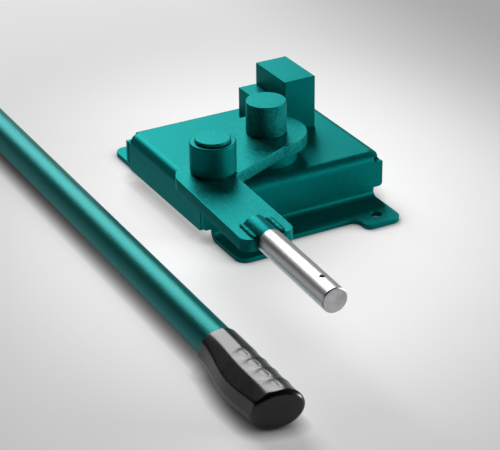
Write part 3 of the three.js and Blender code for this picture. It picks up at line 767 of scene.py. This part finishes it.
def headed_pin():
    shank = PIN / 2
    head = PIN_HEAD / 2
    groove = shank - PIN_GROOVE_DEPTH
    top = rounded_outline([
        (0, PIN_HEAD_BOTTOM, 0), (head, PIN_HEAD_BOTTOM, PIN_HEAD_FOOT_EDGE),
        (head, PIN_HEAD_TOP, PIN_HEAD_EDGE), (0, PIN_HEAD_TOP, 0),
    ], 5)[1:]
    foot = [
        (0, PIN_TIP), (shank - PIN_TIP_CHAMFER, PIN_TIP), (shank, PIN_TIP + PIN_TIP_CHAMFER),
        (shank, PIN_GROOVE_BOTTOM), (groove, PIN_GROOVE_BOTTOM), (groove, PIN_GROOVE_TOP),
        (shank, PIN_GROOVE_TOP), (shank, PIN_HEAD_BOTTOM),
    ]
    return turned(foot + [tuple(p) for p in top])


arm_holes = [circle(BUSH_HOLE, steps=96), circle(PIN + 2 * CLEARANCE, ROLLER_AT.xy)]
arm = edged_plate(arm_outline(), arm_holes, 0, ARM_THICKNESS, ARM_EDGE)
mount(arm, "dog_leg_arm", "arm", [teal_cast], ["arm_plate"], ARM_FRAME)

STUB_FRAME = ARM_FRAME @ Matrix.Translation(
    (HANDLE_X, -ARM_REACH - STUB_LENGTH + STUB_SEAT - CLEARANCE, ARM_THICKNESS / 2))
stub_finishes = [steel, teal_cast, steel_face]
stub = mount(stub_bar(), "bright_stub", "arm", stub_finishes, ["stub_shaft"], STUB_FRAME)
paint_seat(stub, STUB_FRAME)

ROLLER_FRAME = ARM_FRAME @ Matrix.Translation(ROLLER_AT)
sleeve = ring(ROLLER_BORE / 2, ROLLER / 2, ROLLER_BOTTOM, ROLLER_TOP, ROLLER_EDGE, steps=128)
mount(sleeve, "roller_sleeve", "roller", [teal], ["bending_roller"], ROLLER_FRAME)
mount(headed_pin(), "headed_pin", "arm", [teal_cast], ["roller_pin"], ROLLER_FRAME)


# Lever
def ease(start, end, share):
    return start + (end - start) * (1 - math.cos(math.pi * share)) / 2


def grip_section(along):
    """Half the grip's width there, and how far its middle lies toward the palm."""
    (s0, w0, o0), (s1, w1, o1), (s2, w2, o2) = GRIP_STATIONS
    if along < s1:
        share = (along - s0) / (s1 - s0)
        return ease(w0, w1, share), ease(o0, o1, share)
    share = (along - s1) / (s2 - s1)
    return ease(w1, w2, share), ease(o1, o2, share)


def grip_reach(angle, along):
    """How far the plain grip reaches in a direction."""
    wide, swell = grip_section(along)
    turn = angle - GRIP_PALM
    return swell * math.cos(turn) + math.hypot(wide * math.cos(turn), GRIP_HALF_HEIGHT * math.sin(turn))


WIDEST = GRIP_STATIONS[1][0]
DROP = grip_reach(math.radians(270), WIDEST)
LEAN = math.asin((DROP - TUBE / 2) / (TUBE_START + TUBE_LENGTH - WIDEST))
LEVER_HEIGHT = DROP * math.cos(LEAN) + WIDEST * math.sin(LEAN) + LEVER_OFF_FLOOR
LEVER_FRAME = (
    Matrix.Translation(LEVER_AT + Vector((0, 0, LEVER_HEIGHT)))
    @ Matrix.Rotation(LEVER_TURN, 4, "Z")
    @ Matrix.Rotation(-LEAN, 4, "X")
)


def finger_share(along):
    """1 in the middle of a finger's place, 0 at the crests between two of them."""
    place = (along - FINGER_FIRST) / FINGER_PITCH
    from_middle = abs(place - min(max(round(place), 0), FINGERS - 1))
    return max(0, 1 - (2 * from_middle) ** FINGER_FLATNESS)


def finger_cut(angle, along):
    """Shallow scallops on the side of the fingers."""
    off = abs((math.degrees(angle) - FINGER_ANGLE + 180) % 360 - 180)
    fade = math.cos(min(off, FINGER_SPAN) / FINGER_SPAN * math.pi / 2) ** FINGER_FADE
    return FINGER_DEPTH * fade * finger_share(along)


def blended_min(first, second):
    """The smaller of two distances, rounded where they meet."""
    near = max(EDGE_BLEND - abs(first - second), 0) / EDGE_BLEND
    return min(first, second) - near * near * EDGE_BLEND / 4


def grip_loop(along, inset, count):
    """One loop around the grip. Flat cuts make its facet, its side, its top band and the finger places."""
    wide, swell = grip_section(along)
    slant = GRIP_SLANT * max(0, 1 - along / GRIP_SLANT_REACH)
    facet_share = 1 - ((along - FACET_MIDDLE) / FACET_HALF) ** 2
    cuts = (
        (FACET_ANGLE, grip_reach(FACET_ANGLE, along) - FACET_DEPTH * facet_share),
        (SIDE_ANGLE, grip_reach(SIDE_ANGLE, along) - SIDE_DEPTH),
        (TOP_ANGLE, grip_reach(TOP_ANGLE, along) - TOP_DEPTH),
        (LOBE_ANGLE, grip_reach(LOBE_ANGLE, along) - LOBE_DEPTH * finger_share(along)),
    )
    loop = []
    for i in range(count):
        turn = 2 * math.pi * i / count
        u = swell + (wide - inset) * math.cos(turn)
        v = (GRIP_HALF_HEIGHT - inset) * math.sin(turn)
        angle = math.atan2(v, u) + GRIP_PALM
        reach = math.hypot(u, v) - finger_cut(angle, along)
        for direction, level in cuts:
            toward = math.cos(angle - direction)
            if toward > 0:
                reach = blended_min(reach, level / toward)
        loop.append((reach * math.cos(angle), along + slant * u, reach * math.sin(angle)))
    return loop


def moulded_grip():
    """Rounded end, body, mouth and bore, as loops of points that are joined by faces."""
    count = 256
    end_steps = 9
    body_steps = 230
    mouth_steps = 5
    stations = []
    for step in range(1, end_steps):
        turn = math.pi / 2 * step / end_steps
        stations.append((GRIP_END_RADIUS * (1 - math.cos(turn)), GRIP_END_RADIUS * (1 - math.sin(turn))))
    body_end = GRIP_LENGTH - GRIP_MOUTH_RADIUS
    for step in range(body_steps + 1):
        stations.append((GRIP_END_RADIUS + (body_end - GRIP_END_RADIUS) * step / body_steps, 0))
    loops = [grip_loop(along, inset, count) for along, inset in stations]
    points = [point for loop in loops for point in loop]
    last = loops[-1]
    for step in range(1, mouth_steps + 1):
        turn = math.pi / 2 * step / mouth_steps
        inset = GRIP_MOUTH_RADIUS * (1 - math.cos(turn))
        for x, y, z in last:
            reach = math.hypot(x, z)
            shorter = max(reach - inset, GRIP_BORE + GRIP_MOUTH_WALL) / reach
            points.append((x * shorter, y + GRIP_MOUTH_RADIUS * math.sin(turn), z * shorter))
    for along in (GRIP_LENGTH, GRIP_LENGTH - GRIP_MOUTH_CHAMFER, GRIP_END_WALL):
        for x, y, z in last:
            reach = math.hypot(x, z)
            points.append((x / reach * GRIP_BORE, along, z / reach * GRIP_BORE))
    rings = len(points) // count
    faces = []
    for i in range(rings - 1):
        for j in range(count):
            after = (j + 1) % count
            low = i * count
            high = low + count
            faces.append((low + j, low + after, high + after, high + j))
    swell = grip_section(0)[1]
    dome = GRIP_SLANT * swell - GRIP_END_DOME
    points.append((math.cos(GRIP_PALM) * swell, dome, math.sin(GRIP_PALM) * swell))
    points.append((0, GRIP_END_WALL, 0))
    for j in range(count):
        after = (j + 1) % count
        faces.append((len(points) - 2, after, j))
        faces.append((len(points) - 1, (rings - 1) * count + j, (rings - 1) * count + after))
    return solid(points, faces)


mount(moulded_grip(), "moulded_grip", "lever", [rubber], ["lever_grip"], LEVER_FRAME)
tube = ring(TUBE / 2 - TUBE_WALL, TUBE / 2, TUBE_START, TUBE_START + TUBE_LENGTH, TUBE_EDGE, "y", 128)
mount(tube, "painted_tube", "lever", [teal_tube], ["lever_tube"], LEVER_FRAME)


# Geometry Nodes: what repeats or follows a path
def shape_tree(name, sizes):
    """An empty tree with named sizes and a finish, and its inputs as sockets."""
    tree = bpy.data.node_groups.new(name, "GeometryNodeTree")
    tree.interface.new_socket("Geometry", in_out="INPUT", socket_type="NodeSocketGeometry")
    add_numbers(tree, sizes)
    tree.interface.new_socket("Finish", in_out="INPUT", socket_type="NodeSocketMaterial")
    tree.interface.new_socket("Geometry", in_out="OUTPUT", socket_type="NodeSocketGeometry")
    return tree, node(tree, "NodeGroupInput").outputs


def close_tree(tree, geometry, finish):
    """Every tree ends in real geometry that has its finish."""
    real = node(tree, "GeometryNodeRealizeInstances", {"Geometry": geometry})
    dressed = node(tree, "GeometryNodeSetMaterial")
    feed(dressed, {"Geometry": real.outputs["Geometry"], "Material": finish})
    node(tree, "NodeGroupOutput", {"Geometry": dressed.outputs["Geometry"]})
    return tree


def grown(tree, points, sizes, finish):
    """Runs a tree on loose points and returns its result as a plain mesh object."""
    mesh = bpy.data.meshes.new("work")
    mesh.from_pydata(points, [], [])
    made = linked("work", mesh)
    step = made.modifiers.new("grow", "NODES")
    step.node_group = tree
    values = {label: float(size) for label, size in sizes.items()}
    values["Finish"] = finish
    for socket in tree.interface.items_tree:
        if socket.in_out == "INPUT" and socket.name in values:
            step[socket.identifier] = values[socket.name]
    freeze(made)
    return made


def cylinder(tree, sides, radius, depth, level):
    """A cylinder whose middle lies at a level. Its sizes are numbers or sockets."""
    body = node(tree, "GeometryNodeMeshCylinder", {"Vertices": sides, "Radius": radius, "Depth": depth})
    lift = node(tree, "ShaderNodeCombineXYZ", {"Z": level})
    place = node(tree, "GeometryNodeTransform")
    feed(place, {"Geometry": body.outputs["Mesh"], "Translation": lift.outputs["Vector"]})
    return place.outputs["Geometry"]


def bolt_tree(sizes):
    """Hexagon bolts that stand head down at each point, the head's seat at the point."""
    tree, start = shape_tree("hexagon_bolts", sizes)
    corner = start["Corner Radius"]
    head = start["Head Height"]
    length = start["Shank Length"]
    face_radius = maths(tree, "MULTIPLY", corner, 0.82)
    face_depth = 0.4
    parts = (
        cylinder(tree, 6, corner, head, maths(tree, "MULTIPLY", head, -0.5)),
        cylinder(tree, 48, face_radius, face_depth, maths(tree, "MULTIPLY", head, -1.0)),
        cylinder(tree, 32, start["Shank Radius"], length, maths(tree, "MULTIPLY", length, 0.5)),
    )
    whole = node(tree, "GeometryNodeJoinGeometry")
    for part in parts:
        feed(whole, {"Geometry": part})
    spread = node(tree, "GeometryNodeInstanceOnPoints")
    feed(spread, {"Points": start["Geometry"], "Instance": whole.outputs["Geometry"]})
    return close_tree(tree, spread.outputs["Instances"], start["Finish"])


bolt_sizes = {
    "Corner Radius": corner_radius(BOLT_HEAD_WIDTH), "Head Height": BOLT_HEAD_HEIGHT,
    "Shank Radius": BOLT / 2, "Shank Length": BOLT_TOP - BOLT_HEAD_TOP,
}
bolt_points = [(x, y, BOLT_HEAD_TOP) for x, y in BOLT_PLACES]
bolts = grown(bolt_tree(bolt_sizes), bolt_points, bolt_sizes, zinc)
mount(bolts, "block_bolts", "base", [zinc],
      ["stop_bolt_front", "stop_bolt_rear", "rest_bolt_front", "rest_bolt_rear"])


def weld_tree(sizes):
    """A bead from each point along Y: a ridge with ripples, tapered ends and a flat foot."""
    tree, start = shape_tree("weld_run", sizes)
    end_point = node(tree, "ShaderNodeCombineXYZ", {"Y": start["Length"]})
    line = node(tree, "GeometryNodeCurvePrimitiveLine", {"End": end_point.outputs["Vector"]})
    path = node(tree, "GeometryNodeResampleCurve", {"Curve": line.outputs["Curve"], "Count": 140})
    along = node(tree, "GeometryNodeSplineParameter").outputs
    from_middle = maths(tree, "ABSOLUTE", maths(tree, "MULTIPLY_ADD", along["Factor"], 2.0, -1.0))
    taper = maths(tree, "MULTIPLY_ADD", maths(tree, "POWER", from_middle, 9.0), -0.55, 1.0)
    turns = maths(tree, "DIVIDE", along["Length"], start["Ripple Pitch"])
    wave = maths(tree, "SINE", maths(tree, "MULTIPLY", turns, 2 * math.pi))
    half_width = maths(tree, "MULTIPLY_ADD", wave, start["Ripple Depth"], start["Half Width"])
    section = node(tree, "GeometryNodeCurvePrimitiveCircle", {"Resolution": 28, "Radius": 1.0})
    swept = node(tree, "GeometryNodeCurveToMesh", {
        "Curve": path.outputs["Curve"], "Profile Curve": section.outputs["Curve"],
        "Scale": maths(tree, "MULTIPLY", half_width, taper), "Fill Caps": True,
    })
    flatness = maths(tree, "DIVIDE", start["Height"], start["Half Width"])
    scale = node(tree, "ShaderNodeCombineXYZ", {"X": 1.0, "Y": 1.0, "Z": flatness})
    pressed = node(tree, "GeometryNodeTransform")
    feed(pressed, {"Geometry": swept.outputs["Mesh"], "Scale": scale.outputs["Vector"]})
    spread = node(tree, "GeometryNodeInstanceOnPoints")
    feed(spread, {"Points": start["Geometry"], "Instance": pressed.outputs["Geometry"]})
    real = node(tree, "GeometryNodeRealizeInstances", {"Geometry": spread.outputs["Instances"]})
    bumps = node(tree, "ShaderNodeTexNoise", {"Scale": 0.45, "Detail": 3.0})
    centred = maths(tree, "SUBTRACT", bumps.outputs["Fac"], 0.5)
    outward = node(tree, "GeometryNodeInputNormal")
    depth = maths(tree, "MULTIPLY", centred, start["Roughness Depth"])
    push = node(tree, "ShaderNodeVectorMath", operation="SCALE")
    feed(push, {0: outward.outputs["Normal"], "Scale": depth})
    rough = node(tree, "GeometryNodeSetPosition")
    feed(rough, {"Geometry": real.outputs["Geometry"], "Offset": push.outputs["Vector"]})
    place = node(tree, "GeometryNodeInputPosition")
    split = node(tree, "ShaderNodeSeparateXYZ", {"Vector": place.outputs["Position"]}).outputs
    height = maths(tree, "MAXIMUM", split["Z"], start["Foot Level"])
    level = node(tree, "ShaderNodeCombineXYZ", {"X": split["X"], "Y": split["Y"], "Z": height})
    flat = node(tree, "GeometryNodeSetPosition")
    feed(flat, {"Geometry": rough.outputs["Geometry"], "Position": level.outputs["Vector"]})
    return close_tree(tree, flat.outputs["Geometry"], start["Finish"])


weld_foot = ARM_THICKNESS + CLEARANCE
weld_sizes = {
    "Length": WELD_LENGTH, "Half Width": 3.0, "Height": 2.2, "Ripple Pitch": 2.6, "Ripple Depth": 0.16,
    "Roughness Depth": 0.7, "Foot Level": weld_foot,
}
weld_start = -ARM_REACH + (STUB_SEAT - WELD_LENGTH) / 2
weld_points = [(HANDLE_X + side * WELD_OFFSET, weld_start, weld_foot) for side in (-1, 1)]
welds = grown(weld_tree(weld_sizes), weld_points, weld_sizes, teal_cast)
weld_beads = ["weld_bead_left", "weld_bead_right"]
mount(welds, "weld_runs", "arm", [teal_cast], weld_beads, ARM_FRAME)

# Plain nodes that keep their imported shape
for kept_finish, kept_nodes in (
    (zinc, ("pivot_washer", "pin_washer", "stop_washer_front", "stop_washer_rear", "rest_washer_front",
            "rest_washer_rear")),
    (bronze, ("thrust_washer", "arm_bush", "roller_washer", "roller_bush")),
    (steel, ("pin_ring",)),
):
    for kept_node in kept_nodes:
        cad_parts[kept_node].data.materials[0] = kept_finish

# Floor, light and camera
VIEW_YAW = 0.494523
VIEW_PITCH = 0.480829
VIEW_ROLL = -0.011025
CAMERA_AT = (-824.473, -1521.445, 858.489)
FOCAL_PIXELS = 1911.57
PICTURE_WIDTH = 500
SENSOR = 36
FLOOR_HALF = 6
PAPER_LIGHTING = (0.46, 0.463, 0.466, 1)
PAPER_SEEN = (0.50, 0.503, 0.507, 1)
# Painted pool of light on the floor: a glow, seen in the view and in reflections, strongest about this
# middle and falling off over this reach to its rim value
LIGHT_POOL_MIDDLE = (0, -85)
LIGHT_POOL_REACH = (315, 455)
LIGHT_POOL_RIM = 0.24
GLOW = 0.58
GLOW_COLOUR = (1.0, 0.985, 0.985, 1)
# Painted contact shade: ambient occlusion within this distance darkens the floor's colour, and its glow
# more strongly, near the object and in its holes
NEAR_SHADE = 16
NEAR_SHADE_POWER = 1.6
# Painted shade on the floor: beyond a line across this direction the floor turns darker, where the light
# falls off
FALLOFF_SHADE_DIRECTION = (0.84, 0.54)
FALLOFF_SHADE_START = 200
FALLOFF_SHADE_END = 520
FALLOFF_SHADE_TONE = (0.1428, 0.14365, 0.14705, 1)
LAMP_AIM = (0, 0, 40)
LAMP_SPREAD = 130


def point_in_metres(point):
    return BASE_MIDDLE + Vector(point) / METRE


def ranged(tree, value, from_low, from_high, to_low, to_high, **settings):
    """The result of a Map Range node."""
    limits = {"From Min": from_low, "From Max": from_high, "To Min": to_low, "To Max": to_high}
    return node(tree, "ShaderNodeMapRange", {"Value": value, **limits}, **settings).outputs["Result"]


def seen_rays(tree, mirrored_share=1.0):
    """1 for the rays of the view, of reflections and of what passes through glass, 0 for those that light.
    The share lowers it in reflections and behind glass."""
    rays = node(tree, "ShaderNodeLightPath").outputs
    mirrored = maths(tree, "MAXIMUM", rays["Is Glossy Ray"], rays["Is Transmission Ray"])
    lowered = maths(tree, "MULTIPLY", mirrored, mirrored_share)
    return maths(tree, "MAXIMUM", rays["Is Camera Ray"], lowered)


def floor_sheet():
    """A pale floor with a painted pool of light, a glow that falls off softly from a middle as in the
    photograph, painted shade beyond a line where the light falls off, and painted contact shade near the
    object. Its glow is for the view and for reflections alone, so it lights nothing."""
    mesh = bpy.data.meshes.new("floor")
    corners = [(-1, -1), (1, -1), (1, 1), (-1, 1)]
    mesh.from_pydata([(x * FLOOR_HALF, y * FLOOR_HALF, 0) for x, y in corners], [], [(0, 1, 2, 3)])
    floor = linked("floor", mesh)
    paper, tree, shader = new_material("floor_paper", {
        "Roughness": 0.9, "Specular IOR Level": 0.2, "Emission Color": GLOW_COLOUR,
    })
    from_base = node(tree, "ShaderNodeVectorMath", operation="SUBTRACT")
    feed(from_base, {0: own_place(tree), 1: BASE_MIDDLE})
    across_way = Vector((math.cos(VIEW_YAW), -math.sin(VIEW_YAW), 0)) * METRE
    along_way = Vector((math.sin(VIEW_YAW), math.cos(VIEW_YAW), 0)) * METRE

    def along_axis(direction, start):
        """How far a point of the floor lies in a direction, from start."""
        measure = node(tree, "ShaderNodeVectorMath", operation="DOT_PRODUCT")
        feed(measure, {0: from_base.outputs[0], 1: direction})
        return maths(tree, "SUBTRACT", measure.outputs["Value"], start)

    # Painted pool of light: the glow falls off softly with the distance from the pool's middle
    spot = node(tree, "ShaderNodeCombineXYZ", {
        "X": along_axis(across_way / LIGHT_POOL_REACH[0], LIGHT_POOL_MIDDLE[0] / LIGHT_POOL_REACH[0]),
        "Y": along_axis(along_way / LIGHT_POOL_REACH[1], LIGHT_POOL_MIDDLE[1] / LIGHT_POOL_REACH[1]),
    })
    reach = node(tree, "ShaderNodeVectorMath", {0: spot.outputs["Vector"]}, operation="LENGTH")
    soft = {"interpolation_type": "SMOOTHSTEP"}
    glow = ranged(tree, reach.outputs["Value"], 1.2, 0.3, LIGHT_POOL_RIM, GLOW, **soft)
    # Painted shade where the light falls off, for the view and for reflections alone
    dusk_way = along_axis(across_way * FALLOFF_SHADE_DIRECTION[0] + along_way * FALLOFF_SHADE_DIRECTION[1], 0)
    falloff_shade = ranged(tree, dusk_way, FALLOFF_SHADE_START, FALLOFF_SHADE_END, 0.0, 1.0, **soft)
    seen = seen_rays(tree)
    # Painted contact shade: the occlusion darkens the glow and the floor's colour near the object
    open_share = node(tree, "ShaderNodeAmbientOcclusion", {"Distance": NEAR_SHADE / METRE}).outputs["AO"]
    open_glow = maths(tree, "MULTIPLY", glow, maths(tree, "POWER", open_share, NEAR_SHADE_POWER))
    paper_tone = node(tree, "ShaderNodeMix", data_type="RGBA")
    feed(paper_tone, {"Factor": seen, "A": PAPER_LIGHTING, "B": PAPER_SEEN})
    seen_dusk = maths(tree, "MULTIPLY", falloff_shade, seen)
    tone = node(tree, "ShaderNodeMix", data_type="RGBA")
    feed(tone, {"Factor": seen_dusk, "A": paper_tone.outputs["Result"], "B": FALLOFF_SHADE_TONE})
    shaded_tone = node(tree, "ShaderNodeVectorMath", operation="SCALE")
    feed(shaded_tone, {0: tone.outputs["Result"], "Scale": open_share})
    feed(shader, {
        "Base Color": shaded_tone.outputs[0], "Emission Strength": maths(tree, "MULTIPLY", open_glow, seen),
    })
    mesh.materials.append(paper)


def softbox(name, azimuth, elevation, distance, size, power):
    """A lamp seen from the base under that azimuth, turned from plus Y towards plus X. Metres and watts."""
    lamp = bpy.data.lights.new(name, "AREA")
    lamp.shape = "RECTANGLE"
    lamp.size = size[0]
    lamp.size_y = size[1]
    lamp.spread = math.radians(LAMP_SPREAD)
    lamp.energy = power
    holder = linked(name, lamp)
    a = math.radians(azimuth)
    e = math.radians(elevation)
    away = Vector((math.sin(a) * math.cos(e), math.cos(a) * math.cos(e), math.sin(e)))
    holder.location = point_in_metres(LAMP_AIM) + away * distance
    holder.rotation_mode = "QUATERNION"
    holder.rotation_quaternion = away.to_track_quat("Z", "Y")


def surroundings():
    """A dim studio that lights the object, and a pale backdrop. The view shows the backdrop everywhere, and
    reflections show it low above the floor, where it ends."""
    world = bpy.data.worlds.new("studio")
    bpy.context.scene.world = world
    world.use_nodes = True
    tree = world.node_tree
    tree.nodes.clear()
    place = node(tree, "ShaderNodeTexCoord")
    height = node(tree, "ShaderNodeSeparateXYZ", {"Vector": place.outputs["Generated"]}).outputs["Z"]
    dimness = ranged(tree, height, 0.0, 0.6, 0.02, 0.011)
    low_band = ranged(tree, height, 0.06, 0.16, 1.0, 0.0)
    dome = node(tree, "ShaderNodeBackground", {"Color": (0.97, 0.99, 1.0, 1), "Strength": dimness})
    backdrop = node(tree, "ShaderNodeBackground", {"Color": (0.80, 0.81, 0.82, 1), "Strength": 1.0})
    choose = node(tree, "ShaderNodeMixShader", {
        "Fac": seen_rays(tree, low_band), 1: dome.outputs["Background"], 2: backdrop.outputs["Background"],
    })
    node(tree, "ShaderNodeOutputWorld", {"Surface": choose.outputs["Shader"]})


def photograph_camera():
    level = math.cos(VIEW_PITCH)
    forward = Vector((math.sin(VIEW_YAW) * level, math.cos(VIEW_YAW) * level, -math.sin(VIEW_PITCH)))
    right = Vector((math.cos(VIEW_YAW), -math.sin(VIEW_YAW), 0))
    up = right.cross(forward)
    turned_right = right * math.cos(VIEW_ROLL) + up * math.sin(VIEW_ROLL)
    turned_up = up * math.cos(VIEW_ROLL) - right * math.sin(VIEW_ROLL)
    lens = bpy.data.cameras.new("photograph")
    lens.sensor_width = SENSOR
    lens.lens = SENSOR * FOCAL_PIXELS / PICTURE_WIDTH
    lens.clip_start = 0.05
    lens.clip_end = 40
    holder = linked("photograph", lens)
    turn = Matrix((turned_right, turned_up, -forward)).transposed().to_4x4()
    holder.matrix_world = Matrix.Translation(point_in_metres(CAMERA_AT)) @ turn
    bpy.context.scene.camera = holder


floor_sheet()
softbox("key_softbox", azimuth=8, elevation=38, distance=2.6, size=(1.9, 1.6), power=40)
softbox("right_fill", azimuth=119, elevation=9, distance=2.6, size=(1.7, 0.65), power=34)
surroundings()
photograph_camera()
bpy.context.scene.view_settings.view_transform = "Standard"
